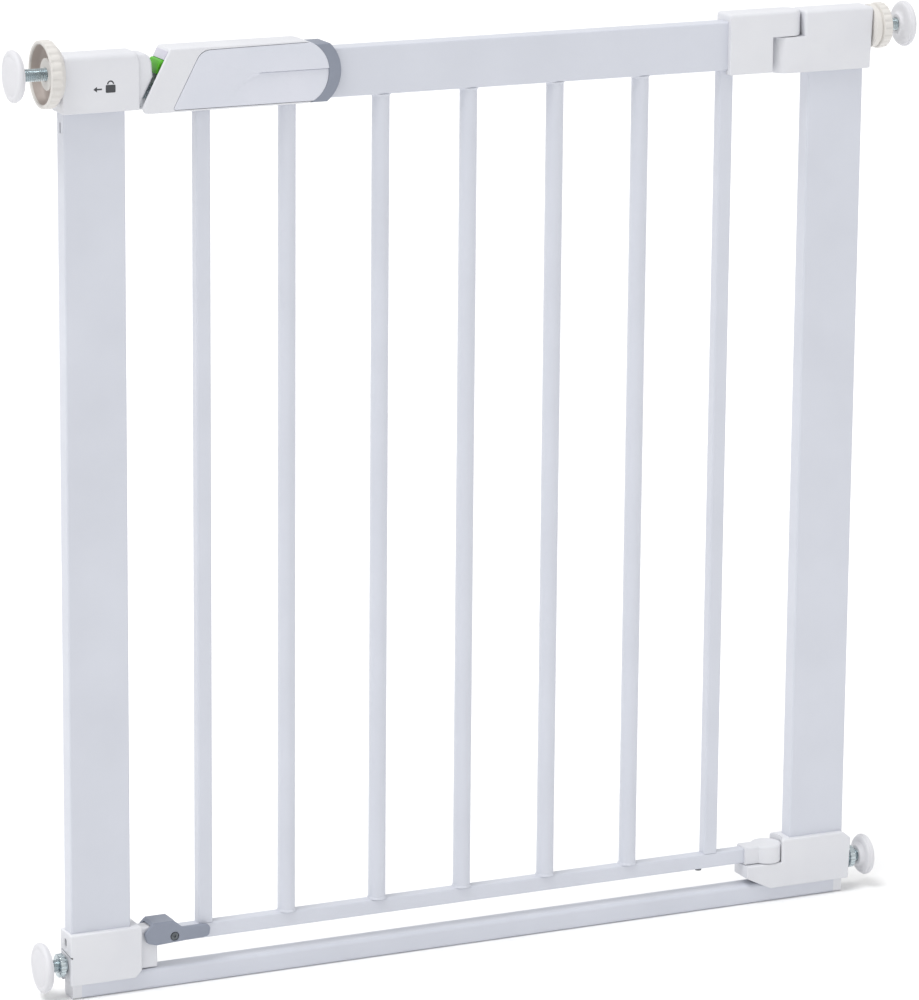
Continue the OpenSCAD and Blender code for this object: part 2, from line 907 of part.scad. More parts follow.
module cup_wheel() {
    wheel_r = cup_wheel_dia / 2;
    hub_r = 12.5;
    x0 = -receiver_x0 + slide_gap;
    color("linen")
        adjuster(1, upper_left_z)
            difference() {
                rotate([0, 90, 0])
                    rotate_extrude($fn = 96)
                        polygon([
                            [spindle_r + run_fit, x0],
                            [wheel_r - 6, x0],
                            [wheel_r - 1.5, x0 + 4],
                            [wheel_r, x0 + 5.5],
                            [wheel_r, x0 + 13.5],
                            [wheel_r - 3, x0 + 13.5],
                            [wheel_r - 3.5, x0 + 6.5],
                            [hub_r, x0 + 4],
                            [hub_r, x0 + 9],
                            [spindle_r + run_fit, x0 + 9]
                        ]);
                grip_notches(x0 + 5, x0 + 12.5, wheel_r, 24, 1.6);
            }
}

module hand_knob() {
    knob_r = knob_dia / 2;
    x0 = hinge_cap_x1 + slide_gap;
    color("linen")
        adjuster(0, upper_right_z)
            difference() {
                rotate([0, 90, 0])
                    rotate_extrude($fn = 96)
                        polygon([
                            [spindle_r + run_fit, x0],
                            [knob_r - 1, x0],
                            [knob_r - 1, x0 + 5],
                            [knob_r - 2.5, x0 + 5.6],
                            [knob_r - 2.5, x0 + 6.4],
                            [knob_r, x0 + 7],
                            [knob_r, x0 + 14],
                            [knob_r - 1.5, x0 + 15],
                            [spindle_r + run_fit, x0 + 15]
                        ]);
                grip_notches(x0 + 7.5, x0 + 16, knob_r, 20, 1.4);
            }
}

// knurled ring on a plain shoulder that bears on the housing
module ring_nut(x0) {
    nut_r = ring_nut_dia / 2;
    nut_t = 5;
    shoulder_r = 6.5;
    shoulder_t = 2;
    difference() {
        union() {
            rod_x(x0, x0 + shoulder_t + eps, shoulder_r);
            rod_x(x0 + shoulder_t, x0 + shoulder_t + nut_t, nut_r);
        }
        rod_x(x0 - 1, x0 + shoulder_t + nut_t + 1, spindle_r + run_fit);
        grip_notches(x0 - 1, x0 + shoulder_t + nut_t + 1, nut_r, 16, 0.9);
    }
}

module upper_left_spindle() {
    color("silver")
        adjuster(1, upper_left_z)
            spindle(upper_left_reach, 75);
}

module upper_left_pad() {
    color("white")
        adjuster(1, upper_left_z)
            wall_pad(upper_left_reach, left_pad_dia);
}

module upper_right_spindle() {
    color("silver")
        adjuster(0, upper_right_z)
            spindle(upper_right_reach, 76);
}

module upper_right_pad() {
    color("white")
        adjuster(0, upper_right_z)
            wall_pad(upper_right_reach, upper_right_pad_dia);
}

module lower_left_nut() {
    color("silver")
        adjuster(1, lower_spindle_z)
            ring_nut(-foot_left_x0 + slide_gap);
}

module lower_left_spindle() {
    color("silver")
        adjuster(1, lower_spindle_z)
            spindle(lower_left_reach, 60);
}

module lower_left_pad() {
    color("white")
        adjuster(1, lower_spindle_z)
            wall_pad(lower_left_reach, left_pad_dia);
}

module lower_right_nut() {
    color("silver")
        adjuster(0, lower_spindle_z)
            ring_nut(foot_right_x1 + slide_gap);
}

module lower_right_spindle() {
    color("silver")
        adjuster(0, lower_spindle_z)
            spindle(lower_right_reach, 62);
}

module lower_right_pad() {
    color("white")
        adjuster(0, lower_spindle_z)
            wall_pad(lower_right_reach, lower_right_pad_dia);
}

left_post();
right_post();
floor_rail();
rail_end_plugs();
receiver_cap();
hinge_cap();
left_foot_housing();
right_foot_housing();
spindle_guides();
cap_screws();
upper_hinge_pin();
lower_hinge_pin();
top_rail();
top_rail_plug();
lower_rail();
square_end_bars();
round_bars();
leaf_hinge_cap();
lower_knuckle();
lower_catch_fork();
fork_screw();
spring_seat();
rail_buffer();
handle_core();
handle_front_cover();
handle_rear_cover();
handle_end_collar();
latch_bolt();
indicator_flag();
indicator_bezel();
return_spring();
cup_wheel();
upper_left_spindle();
upper_left_pad();
hand_knob();
upper_right_spindle();
upper_right_pad();
lower_left_nut();
lower_left_spindle();
lower_left_pad();
lower_right_nut();
lower_right_spindle();
lower_right_pad();
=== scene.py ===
"""Looks of the stair gate: rounded mouldings, knurled wheels, threaded spindles, welds and
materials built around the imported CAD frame. Lengths in the mesh code are millimetres, scaled
once in make()."""

import json
import math

import bmesh
import bpy
from mathutils import Matrix, Vector


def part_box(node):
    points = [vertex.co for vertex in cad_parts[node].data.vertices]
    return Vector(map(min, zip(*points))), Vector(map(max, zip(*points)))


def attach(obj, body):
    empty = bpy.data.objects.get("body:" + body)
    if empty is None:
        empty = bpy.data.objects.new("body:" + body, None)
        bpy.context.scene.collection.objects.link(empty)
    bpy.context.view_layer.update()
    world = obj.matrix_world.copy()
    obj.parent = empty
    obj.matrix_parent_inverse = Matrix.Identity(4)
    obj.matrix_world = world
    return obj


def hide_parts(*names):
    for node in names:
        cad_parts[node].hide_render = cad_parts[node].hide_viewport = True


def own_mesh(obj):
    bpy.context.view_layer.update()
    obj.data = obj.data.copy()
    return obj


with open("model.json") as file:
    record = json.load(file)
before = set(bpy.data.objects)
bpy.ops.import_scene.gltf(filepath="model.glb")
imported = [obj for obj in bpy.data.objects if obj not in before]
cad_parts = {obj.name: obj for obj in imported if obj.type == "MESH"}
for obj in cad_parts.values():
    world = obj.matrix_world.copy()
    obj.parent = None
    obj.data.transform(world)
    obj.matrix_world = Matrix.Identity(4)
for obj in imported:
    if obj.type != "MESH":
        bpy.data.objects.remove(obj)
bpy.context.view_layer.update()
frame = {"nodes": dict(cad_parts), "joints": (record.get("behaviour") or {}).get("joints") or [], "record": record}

MM = 0.001


# ---------- places read from the frame ----------

def span(node):
    """Lowest and highest corner of a CAD node, in millimetres."""
    lo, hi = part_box(node)
    return lo / MM, hi / MM


JOINTS = {j["name"]: j for j in frame["joints"]}
HINGE_X = JOINTS["leaf_swing"]["pos_m"][0] / MM
THREAD_PITCH = 1.5
BAR_PITCH = 75.2
PIN_BORE_R = 4.1
SPINDLE_BORE_R = 5.1
RECEIVER_FACE_X = -284.3     # right face of the receiver cap, where its nose begins
SLOTTED_BARS_X = (-229.6, -158.2)
FORK_SCREW = (-258.3, 41.8)


# ---------- mesh helpers ----------

SHARP_ANGLE = 35         # degrees between faces above which an edge stays crisp
CORNER_STEPS = 8         # facets in a rounded corner


def make(name, verts, faces, sharp=SHARP_ANGLE):
    """A new object from points in millimetres; edges sharper than the angle stay crisp."""
    mesh = bpy.data.meshes.new(name)
    mesh.from_pydata([Vector(v) * MM for v in verts], [], faces)
    bm = bmesh.new()
    bm.from_mesh(mesh)
    bmesh.ops.remove_doubles(bm, verts=bm.verts, dist=2e-7)
    bmesh.ops.dissolve_degenerate(bm, edges=bm.edges, dist=1e-8)
    bmesh.ops.recalc_face_normals(bm, faces=bm.faces)
    bm.to_mesh(mesh)
    bm.free()
    mesh.shade_smooth()
    mesh.set_sharp_from_angle(angle=math.radians(sharp))
    obj = bpy.data.objects.new(name, mesh)
    bpy.context.scene.collection.objects.link(obj)
    return obj


def arc(cx, cz, r, a0, a1, steps=12):
    """Points of an arc, from angle a0 to angle a1 in degrees."""
    turn = [math.radians(a0 + (a1 - a0) * k / steps) for k in range(steps + 1)]
    return [Vector((cx + r * math.cos(a), cz + r * math.sin(a))) for a in turn]


def signed_area(corners):
    """Signed area of a list of corners, positive when it runs counter-clockwise."""
    pairs = zip(corners, corners[1:] + corners[:1])
    return sum(a[0] * b[1] - b[0] * a[1] for a, b in pairs) / 2


def outline(corners, depth=0.0):
    """Closed outline through corners (u, v, radius), moved inwards by depth. The radius of an
    outer corner shrinks as the outline moves in, down to a sharp corner, and an inner one grows.
    depth is one number or one for each corner."""
    n = len(corners)
    depths = depth if isinstance(depth, list) else [depth] * n
    at = [Vector(c[:2]) for c in corners]
    ways = [(at[(i + 1) % n] - at[i]).normalized() for i in range(n)]
    moved = []
    for i in range(n):
        n0 = Vector((-ways[i - 1].y, ways[i - 1].x))
        n1 = Vector((-ways[i].y, ways[i].x))
        moved.append(at[i] + (n0 + n1) / max(0.3, 1 + n0.dot(n1)) * depths[i])
    out = []
    for i, here in enumerate(moved):
        if corners[i][2] <= 0:
            out.append(here)
            continue
        back = moved[i - 1] - here
        ahead = moved[(i + 1) % n] - here
        outer = ways[i - 1].cross(ways[i]) > 0
        r = max(0.0, corners[i][2] - depths[i]) if outer else corners[i][2] + depths[i]
        half = back.angle(ahead) / 2
        reach = min(r / math.tan(half), 0.48 * back.length, 0.48 * ahead.length)
        start = here + back.normalized() * reach
        end = here + ahead.normalized() * reach
        for k in range(CORNER_STEPS + 1):
            t = k / CORNER_STEPS
            if reach < 1e-6:
                out.append(here.copy())
                continue
            bisector = back.normalized() + ahead.normalized()
            centre = here + bisector * (reach / (2 * math.cos(half) ** 2))
            spoke, last = start - centre, end - centre
            sweep = math.atan2(spoke.cross(last), spoke.dot(last))
            out.append(centre + Matrix.Rotation(sweep * t, 2) @ spoke)
    return out


PLACES = {
    "x": lambda u, v, h: (h, u, v),
    "y": lambda u, v, h: (u, h, v),
    "z": lambda u, v, h: (u, v, h),
}
SUPPORT = 0.3            # width of the flat ring that keeps the shading of a rim off the face
EDGE_STEPS = 5           # facets in a rounded rim


def as_corners(points):
    """Corner list from points that may have no radius, without repeats, counter-clockwise."""
    corners = [(p[0], p[1], p[2] if len(p) > 2 else 0.0) for p in points]
    corners = [c for i, c in enumerate(corners) if math.dist(c[:2], corners[i - 1][:2]) > 0.01]
    return corners if signed_area(corners) > 0 else corners[::-1]


def pillow(name, points, lo, hi, edge=1.0, axis="y", edge_hi=None):
    """Corners extruded from lo to hi along an axis, with the rim at each end rounded.
    edge and edge_hi are radii, or functions of a corner; 0 leaves a plain prism."""
    corners = as_corners(points)
    place = PLACES[axis]

    def radii(rule):
        return [rule(c) if callable(rule) else rule for c in corners]

    loops = []
    for base, way, rule in ((lo, 1, edge), (hi, -1, edge if edge_hi is None else edge_hi)):
        rim = radii(rule)
        half = []
        if max(rim) > 0:
            half.append(([r + SUPPORT for r in rim], [0.0] * len(rim)))
            for k in range(EDGE_STEPS + 1):
                a = math.pi / 2 * k / EDGE_STEPS
                half.append((
                    [r * (1 - math.sin(a)) for r in rim],
                    [r * (1 - math.cos(a)) for r in rim]))
        else:
            half.append((0.0, [0.0] * len(rim)))
        rows = []
        for depth, rise in half:
            ring = outline(corners, depth)
            spread = []
            for c, up in zip(corners, rise):
                spread += [base + way * up] * (CORNER_STEPS + 1 if c[2] > 0 else 1)
            rows.append([place(p.x, p.y, h) for p, h in zip(ring, spread)])
        loops += rows if way > 0 else rows[::-1]
    n = len(loops[0])
    verts = [p for ring in loops for p in ring]
    faces = [list(range(n))[::-1], list(range(len(verts) - n, len(verts)))]
    for k in range(len(loops) - 1):
        for i in range(n):
            j = (i + 1) % n
            faces.append([k * n + i, k * n + j, (k + 1) * n + j, (k + 1) * n + i])
    return make(name, verts, faces)


def lathe(name, profile, x0, z0, side=1, segments=96, flutes=0, closed=False, axis="x"):
    """Profile points (along, radius, flute depth) turned about an axis through x0 and z0."""
    rows = []
    for along, r, *rest in profile:
        cut = rest[0] if rest else 0
        row = []
        for k in range(segments):
            a = 2 * math.pi * k / segments
            dip = cut * (0.5 + 0.5 * math.cos(a * flutes)) ** 2 if flutes else 0
            u, v = (r - dip) * math.cos(a), (r - dip) * math.sin(a)
            row.append((x0 + side * along, u, z0 + v) if axis == "x" else (x0 + u, v, z0 + along))
        rows.append(row)
    verts = [p for row in rows for p in row]
    faces = []
    links = [(i, i + 1) for i in range(len(rows) - 1)]
    if closed:
        links.append((len(rows) - 1, 0))
    for i, j in links:
        for k in range(segments):
            m = (k + 1) % segments
            faces.append([q * segments + c for q, c in ((i, k), (i, m), (j, m), (j, k))])
    return make(name, verts, faces)


def carve(obj, tool, how="DIFFERENCE"):
    """Applies an exact boolean of obj with tool, and removes the tool."""
    step = obj.modifiers.new("carve", "BOOLEAN")
    step.operation = how
    step.solver = "EXACT"
    step.object = tool
    seen = bpy.context.evaluated_depsgraph_get()
    mesh = bpy.data.meshes.new_from_object(obj.evaluated_get(seen))
    obj.modifiers.clear()
    obj.data = mesh
    mesh.set_sharp_from_angle(angle=math.radians(SHARP_ANGLE))
    bpy.data.objects.remove(tool)


def block(lo, hi):
    """A plain box used only to carve with."""
    corners = [(x, y, z) for x in (lo[0], hi[0]) for y in (lo[1], hi[1]) for z in (lo[2], hi[2])]
    faces = [(0, 1, 3, 2), (4, 6, 7, 5), (0, 4, 5, 1), (2, 3, 7, 6), (0, 2, 6, 4), (1, 5, 7, 3)]
    return make("tool", corners, faces)


def drum(r, lo, hi, u, v, axis):
    """A plain cylinder used only to carve with."""
    return pillow("tool", arc(u, v, r, 0, 360 - 7.5, 47), lo, hi, edge=0, axis=axis)


# ---------- materials ----------

class Shader:
    """A principled material under construction, with object-space noise in metres."""

    def __init__(self, name, roughness=0.5, **sockets):
        self.material = bpy.data.materials.new(name)
        self.material.use_nodes = True
        self.tree = self.material.node_tree
        self.bsdf = self.tree.nodes["Principled BSDF"]
        self.bsdf.inputs["Roughness"].default_value = roughness
        for socket, value in sockets.items():
            self.bsdf.inputs[socket.replace("_", " ")].default_value = value
        self.place = self.tree.nodes.new("ShaderNodeTexCoord").outputs["Object"]
        self.normal = None

    def link(self, a, b):
        self.tree.links.new(a, b)

    def noise(self, scale, detail):
        node = self.tree.nodes.new("ShaderNodeTexNoise")
        node.inputs["Scale"].default_value = scale
        node.inputs["Detail"].default_value = detail
        self.link(self.place, node.inputs["Vector"])
        return node.outputs["Fac"]

    def ramp(self, value, stops):
        node = self.tree.nodes.new("ShaderNodeValToRGB")
        node.color_ramp.elements[0].position, node.color_ramp.elements[0].color = stops[0]
        node.color_ramp.elements[1].position, node.color_ramp.elements[1].color = stops[-1]
        for where, colour in stops[1:-1]:
            node.color_ramp.elements.new(where).color = colour
        self.link(value, node.inputs["Fac"])
        return node.outputs["Color"]

    def colour(self, value, stops):
        self.link(self.ramp(value, stops), self.bsdf.inputs["Base Color"])

    def roughness(self, value, low, high):
        node = self.tree.nodes.new("ShaderNodeMapRange")
        node.inputs["From Min"].default_value = 0.3
        node.inputs["From Max"].default_value = 0.7
        node.inputs["To Min"].default_value = low
        node.inputs["To Max"].default_value = high
        self.link(value, node.inputs["Value"])
        self.link(node.outputs["Result"], self.bsdf.inputs["Roughness"])

    def bump(self, value, strength, distance):
        node = self.tree.nodes.new("ShaderNodeBump")
        node.inputs["Strength"].default_value = strength
        node.inputs["Distance"].default_value = distance
        self.link(value, node.inputs["Height"])
        if self.normal:
            self.link(self.normal, node.inputs["Normal"])
        self.normal = node.outputs["Normal"]
        self.link(self.normal, self.bsdf.inputs["Normal"])


def grey(r, g, b):
    """An sRGB colour from 0 to 255 as linear RGBA."""
    def linear(c):
        c /= 255
        return c / 12.92 if c <= 0.04045 else ((c + 0.055) / 1.055) ** 2.4
    return (linear(r), linear(g), linear(b), 1.0)


def powder_coat(name, dark, light):
    """Satin powder coat: orange-peel ripple, fine grain, faint handling marks."""
    s = Shader(name, 0.38, Coat_Weight=0.12, Coat_Roughness=0.25)
    s.colour(s.noise(14, 4), [(0.3, dark), (0.7, light)])
    s.roughness(s.noise(45, 5), 0.33, 0.46)
    s.bump(s.noise(650, 2), 0.12, 0.0002)
    s.bump(s.noise(3200, 2), 0.10, 0.00006)
    return s.material


def moulded(name, dark, light, low=0.42, high=0.58, grain=0.16):
    """Injection-moulded plastic: fine spark-eroded grain and soft changes of gloss."""
    s = Shader(name)
    s.colour(s.noise(22, 4), [(0.3, dark), (0.7, light)])
    s.roughness(s.noise(60, 5), low, high)
    s.bump(s.noise(4200, 3), grain, 0.00008)
    s.bump(s.noise(240, 2), 0.05, 0.0002)
    return s.material


def plated(name, dark, light, low, high):
    """Zinc-plated steel: cloudy passivation, small dull patches and a fine ripple."""
    s = Shader(name, 0.3, Metallic=1.0)
    s.colour(s.noise(160, 4), [(0.32, dark), (0.68, light)])
    s.roughness(s.noise(380, 5), low, high)
    s.bump(s.noise(1800, 2), 0.05, 0.00004)
    return s.material


LOOKS = {
    "coated_steel": powder_coat("coated_steel", grey(200, 203, 212), grey(205, 208, 217)),
    "white_plastic": moulded("white_plastic", grey(213, 214, 219), grey(218, 219, 223)),
    "handle_plastic": moulded("handle_plastic", grey(207, 210, 219), grey(212, 214, 223)),
    "grey_plastic": moulded("grey_plastic", grey(130, 136, 150), grey(137, 143, 157)),
    "dark_plastic": moulded("dark_plastic", grey(96, 98, 102), grey(112, 114, 118), 0.5, 0.7),
    "guide_plastic": moulded("guide_plastic", grey(196, 197, 202), grey(206, 207, 212)),
    "indicator_green": moulded(
        "indicator_green", grey(72, 166, 14), grey(82, 176, 20), 0.34, 0.46, 0.05),
    "bezel_plastic": moulded("bezel_plastic", grey(190, 188, 202), grey(204, 202, 214)),
    "wheel_plastic": moulded("wheel_plastic", grey(212, 209, 205), grey(219, 216, 212)),
    "zinc_steel": plated("zinc_steel", grey(176, 188, 193), grey(200, 210, 213), 0.2, 0.3),
    "black_screw": plated("black_screw", grey(84, 88, 92), grey(112, 116, 120), 0.35, 0.5),
    "pad_plastic": moulded("pad_plastic", grey(209, 209, 213), grey(215, 215, 219), 0.5, 0.68, 0.1),
}
# painted shade: a darker brown-grey for the inside of the cup wheel, standing in for the shade in its hollow
WHEEL_PAINTED_SHADE = moulded("wheel_painted_shade", grey(176, 166, 160), grey(186, 176, 170), 0.5, 0.65)
# dark ink for the printed padlock mark, also used as painted shade on sheets at the bottom of the foot's keyhole
# and slit
INK_AND_PAINTED_SHADE = moulded("print_ink_and_painted_shade", grey(58, 60, 64), grey(70, 72, 76), 0.5, 0.65, 0.05)


def finish_piece(obj, look, body, *nodes, material=None):
    """Gives a piece its material, its body and the CAD nodes it stands for."""
    obj.data.materials.clear()
    obj.data.materials.append(material or LOOKS[look])
    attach(obj, body)
    if nodes:
        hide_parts(*nodes)
    return obj


def dress_cad_nodes():
    """Every CAD node gets the material of its record slot."""
    for part in frame["record"]["subparts"]:
        node = frame["nodes"][part["node"]]
        node.data.materials.clear()
        node.data.materials.append(LOOKS[part["material_slot"]])


# ---------- caps and foot housings ----------

def soft_top(z1, top, side=1.0, band=6.0):
    """Rim radius that is larger near the top of an outline."""
    def rule(c):
        t = min(1.0, max(0.0, (c[1] - (z1 - band)) / band))
        return side + (top - side) * t
    return rule


def receiver_cap():
    lo, hi = span("receiver_cap")
    face_x1 = RECEIVER_FACE_X
    band = 10.0
    rows = [
        (lo.x, lo.z, 1.5), (face_x1, lo.z, 1.5), (face_x1, hi.z - band, 0), (face_x1, hi.z, 4.5),
        (lo.x, hi.z, 5.0), (lo.x, hi.z - band, 0)]
    cap = pillow("receiver_cap_shell", rows, lo.y, hi.y, soft_top(hi.z, 4.0, 1.0, band))
    nose_y, nose_gap, tip_z = 9.5, 1.5, 729.0
    nose = [
        (face_x1 - 12, lo.z + 0.5, 0),
        (slant_x(lo.z) - nose_gap, lo.z + 0.5, 0.8),
        (slant_x(tip_z) - nose_gap, tip_z, 1.5),
        (hi.x - 0.5, tip_z + 3.0, 2.0),
        (hi.x - 1.1, tip_z + 11.0, 3.0),
        (hi.x - 2.8, tip_z + 15.3, 3.0),
        (hi.x - 6.2, tip_z + 18.1, 4.0),
        (face_x1 - 12, hi.z - 1.4, 0)]
    carve(cap, pillow("nose", nose, -nose_y, nose_y, 2.2), "UNION")
    slot_y, slot_z0, slot_z1 = 5.5, 711.0, 739.0
    carve(cap, block((face_x1 - 0.7, -slot_y, slot_z0), (face_x1 + 30, slot_y, slot_z1)))
    post_lo, post_hi = span("left_post")
    carve(cap, block((post_lo.x, post_lo.y, lo.z - 5), (post_hi.x, post_hi.y, post_hi.z)))
    finish_piece(cap, "white_plastic", "frame", "receiver_cap")


def padlock_mark():
    """Small generic closed-padlock and arrow print on the receiver cap."""
    lo = span("receiver_cap")[0]
    y0, y1 = lo.y - 0.04, lo.y + 0.3
    cx, cz = -308.0, lo.z + 19
    body = [
        (cx - 4, cz - 4, 0.8), (cx + 4, cz - 4, 0.8), (cx + 4, cz + 2, 0.8), (cx - 4, cz + 2, 0.8)]
    shackle = arc(cx, cz + 2.5, 2.9, 0, 180) + arc(cx, cz + 2.5, 1.8, 180, 0)
    arrow = [(cx - 14, cz - 1.6), (cx - 10, cz - 1.6), (cx - 10, cz - 3.2), (cx - 7, cz - 1),
             (cx - 10, cz + 1.2), (cx - 10, cz - 0.4), (cx - 14, cz - 0.4)]
    arrow = [Vector((2 * (cx - 10.5) - u, v)) for u, v in arrow]
    for name, shape in (("mark_lock", body), ("mark_shackle", shackle), ("mark_arrow", arrow)):
        mark = pillow(name, shape, y0, y1, 0)
        finish_piece(mark, "dark_plastic", "frame", material=INK_AND_PAINTED_SHADE)


def hinge_cap():
    lo, hi = span("hinge_cap")
    ledge_z = 727.3
    lip_x = HINGE_X + 12.4
    round_end = arc(HINGE_X, 0, 12.9, 248, 112, 24)
    lower = round_end + [
        (HINGE_X + 2, hi.y), (hi.x, hi.y, 2.0), (hi.x, lo.y, 2.0), (HINGE_X + 2, lo.y)]
    cap = pillow("hinge_cap_shell", lower, lo.z, ledge_z, 0.9, "z", edge_hi=0.5)
    upper = [(lip_x, lo.y, 2.2), (hi.x, lo.y, 2.0), (hi.x, hi.y, 2.0), (lip_x, hi.y, 2.2)]
    top = pillow("top", upper, ledge_z - 4, hi.z, 0.3, "z", edge_hi=3.0)
    carve(cap, top, "UNION")
    for v in cap.data.vertices:
        height = (hi.z - v.co.z / MM) / (hi.z - lo.z)
        if v.co.x / MM > hi.x - 12:
            v.co.x -= 2.2 * height * MM
    post_lo, post_hi = span("right_post")
    carve(cap, block((post_lo.x, post_lo.y, lo.z - 5), (post_hi.x, post_hi.y, post_hi.z)))
    carve(cap, drum(PIN_BORE_R, lo.z - 5, ledge_z + 5, HINGE_X, 0, "z"))
    finish_piece(cap, "white_plastic", "frame", "hinge_cap")


def leaf_hinge_cap():
    lo, hi = span("leaf_hinge_cap")
    flat_x, under_z = 260.0, 728.0
    lower = [(lo.x, lo.y, 1.2), (flat_x, lo.y, 1.8), (flat_x, hi.y, 1.8), (lo.x, hi.y, 1.2)]
    cap = pillow("leaf_hinge_cap_shell", lower, lo.z, hi.z - 4, 0.9, "z", edge_hi=0.3)
    end = arc(HINGE_X, 0, hi.x - HINGE_X, -90, 90, 24)
    upper = [Vector((lo.x, lo.y))] + end + [Vector((lo.x, hi.y))]
    top = pillow("top", upper, under_z, hi.z, 0.6, "z", edge_hi=2.6)
    carve(cap, top, "UNION")
    rail_lo, rail_hi = span("top_rail")
    carve(cap, block((lo.x - 5, rail_lo.y, rail_lo.z), (rail_hi.x, rail_hi.y, rail_hi.z)))
    bar_hi = span("square_end_bars")[1]
    carve(cap, block((lo.x - 5, -5, lo.z - 3), (bar_hi.x, 5, rail_lo.z + 1)))
    carve(cap, drum(PIN_BORE_R, under_z - 5, hi.z - 5.8, HINGE_X, 0, "z"))
    finish_piece(cap, "white_plastic", "leaf", "leaf_hinge_cap")


def left_foot_housing():
    lo, hi = span("left_foot_housing")
    face_x1 = lo.x + 60
    shape = [
        (lo.x, lo.z, 1.0),
        (lo.x + 54.5, lo.z + 0.1, 3.0),
        (face_x1, lo.z + 5.6, 1.5),
        (face_x1, hi.z, 1.5),
        (lo.x, hi.z, 1.5)]
    housing = pillow("left_foot_shell", shape, lo.y, hi.y, 1.4)
    catch = [
        (face_x1 - 5, lo.z + 5, 0), (hi.x, lo.z + 5, 1.5),
        (hi.x, hi.z - 3, 2.0), (face_x1 - 5, hi.z - 3, 0)]
    carve(housing, pillow("catch", catch, -6.5, 6.5, 1.4), "UNION")
    rail_lo, rail_hi = span("floor_rail")
    carve(housing, block((lo.x - 5, rail_lo.y, -5), (hi.x + 5, rail_hi.y, rail_hi.z)))
    post_lo, post_hi = span("left_post")
    carve(housing, block((post_lo.x, post_lo.y, 0), (post_hi.x, post_hi.y, hi.z + 5)))
    keyhole = [(-2.1, 41.0, 2.0), (2.1, 41.0, 2.0), (2.1, 48.6, 2.0), (-2.1, 48.6, 2.0)]
    carve(housing, pillow("tool", keyhole, lo.x - 1, lo.x + 1.9, 0, "x"))
    slit = [(lo.y - 1, 34.3), (hi.y + 1, 37.5), (hi.y + 1, 39.0), (lo.y - 1, 35.8)]
    carve(housing, pillow("tool", slit, lo.x - 1, lo.x + 1.7, 0, "x"))
    carve(housing, block((lo.x - 1, 6.2, lo.z - 1), (lo.x + 0.9, 7.2, 35.9)))
    carve(housing, block((lo.x - 1, -7.2, lo.z - 1), (lo.x + 0.9, -6.2, 35.9)))
    finish_piece(housing, "white_plastic", "frame", "left_foot_housing")
    # painted shade: thin dark sheets at the bottom of the keyhole and the slit, where there is only shade
    for name, shape, depth in (("keyhole_painted_shade", keyhole, 1.2), ("slit_painted_shade", slit, 1.0)):
        inset = [(min(11.5, max(-11.5, c[0])), *c[1:]) for c in shape]
        shade_sheet = pillow(name, inset, lo.x + depth, lo.x + 1.95, 0, "x")
        finish_piece(shade_sheet, "dark_plastic", "frame", material=INK_AND_PAINTED_SHADE)


def right_foot_housing():
    lo, hi = span("right_foot_housing")
    ledge = 33.4
    shape = [
        (lo.x, lo.z + 11, 0.8),
        (lo.x + 22, lo.z, 2.0),
        (hi.x - 1.5, lo.z, 1.0),
        (hi.x, hi.z - 6, 2.0),
        (hi.x - 7.5, hi.z, 2.0),
        (HINGE_X + 9.5, hi.z, 2.0),
        (HINGE_X + 9.5, ledge, 0.2),
        (lo.x, ledge, 1.2)]
    housing = pillow("right_foot_shell", shape, lo.y, hi.y, 1.4)
    carve(housing, drum(13.8, ledge, hi.z + 5, HINGE_X, 0, "z"))
    rail_lo, rail_hi = span("floor_rail")
    carve(housing, block((lo.x - 5, rail_lo.y, -5), (hi.x + 5, rail_hi.y, rail_hi.z)))
    post_lo, post_hi = span("right_post")
    carve(housing, block((post_lo.x, post_lo.y, 0), (post_hi.x, post_hi.y, hi.z + 5)))
    carve(housing, drum(PIN_BORE_R, 0, hi.z, HINGE_X, 0, "z"))
    finish_piece(housing, "white_plastic", "frame", "right_foot_housing")


def lower_knuckle():
    lo, hi = span("lower_knuckle")
    r = hi.y
    shape = [(lo.x, -7.5)] + arc(HINGE_X, 0, r, -144, 144, 40) + [(lo.x, 7.5)]
    knuckle = pillow("lower_knuckle_shell", shape, lo.z, hi.z, 0.8, "z", edge_hi=1.6)
    rail_lo, rail_hi = span("lower_rail")
    carve(knuckle, block((lo.x - 5, rail_lo.y, rail_lo.z), (rail_hi.x, rail_hi.y, rail_hi.z)))
    carve(knuckle, drum(PIN_BORE_R, lo.z - 5, hi.z - 3.8, HINGE_X, 0, "z"))
    finish_piece(knuckle, "white_plastic", "leaf", "lower_knuckle")


# ---------- handle ----------

SLANT = 0.517            # run of the slanted end for each millimetre of height
FOOT_X = -285            # left end of the handle at its underside
END_R = 25.3
END_X = -153.4
END_RISE = 24            # height of the centre of the round end above the underside


def handle_span():
    """Corners of the whole handle with its collar left out, and the centre of its round end."""
    lo, hi = span("handle_core")
    return lo, hi, Vector((END_X, lo.z + END_RISE))


def slant_x(z):
    lo = span("handle_core")[0]
    return FOOT_X + SLANT * (z - lo.z)


def handle_outline():
    lo, hi, end = handle_span()
    top = math.degrees(math.asin((hi.z - end.y) / END_R))
    bottom = -math.degrees(math.asin((end.y - lo.z) / END_R))
    left = [(slant_x(hi.z), hi.z, 1.2), (slant_x(lo.z), lo.z, 4.5)]
    return left + arc(end.x, end.y, END_R, bottom, top, 32)


def cover_outline(grow=0.0):
    """Corners of a side cover; grow widens it all round."""
    lo, hi, end = handle_span()
    top_z = hi.z - 1.7 + grow
    low_z = lo.z + 1.8 - grow
    top = math.degrees(math.asin((top_z - end.y) / (END_R + grow)))
    bottom = -math.degrees(math.asin((end.y - low_z) / (END_R + grow)))
    left = [
        (slant_x(hi.z) + 25.7 - grow, hi.z - 2.8 + grow, 12.0),
        (slant_x(low_z) + 26.4 - grow, low_z, 1.4 + grow)]
    return left + arc(end.x, end.y, END_R + grow, bottom, top, 32)


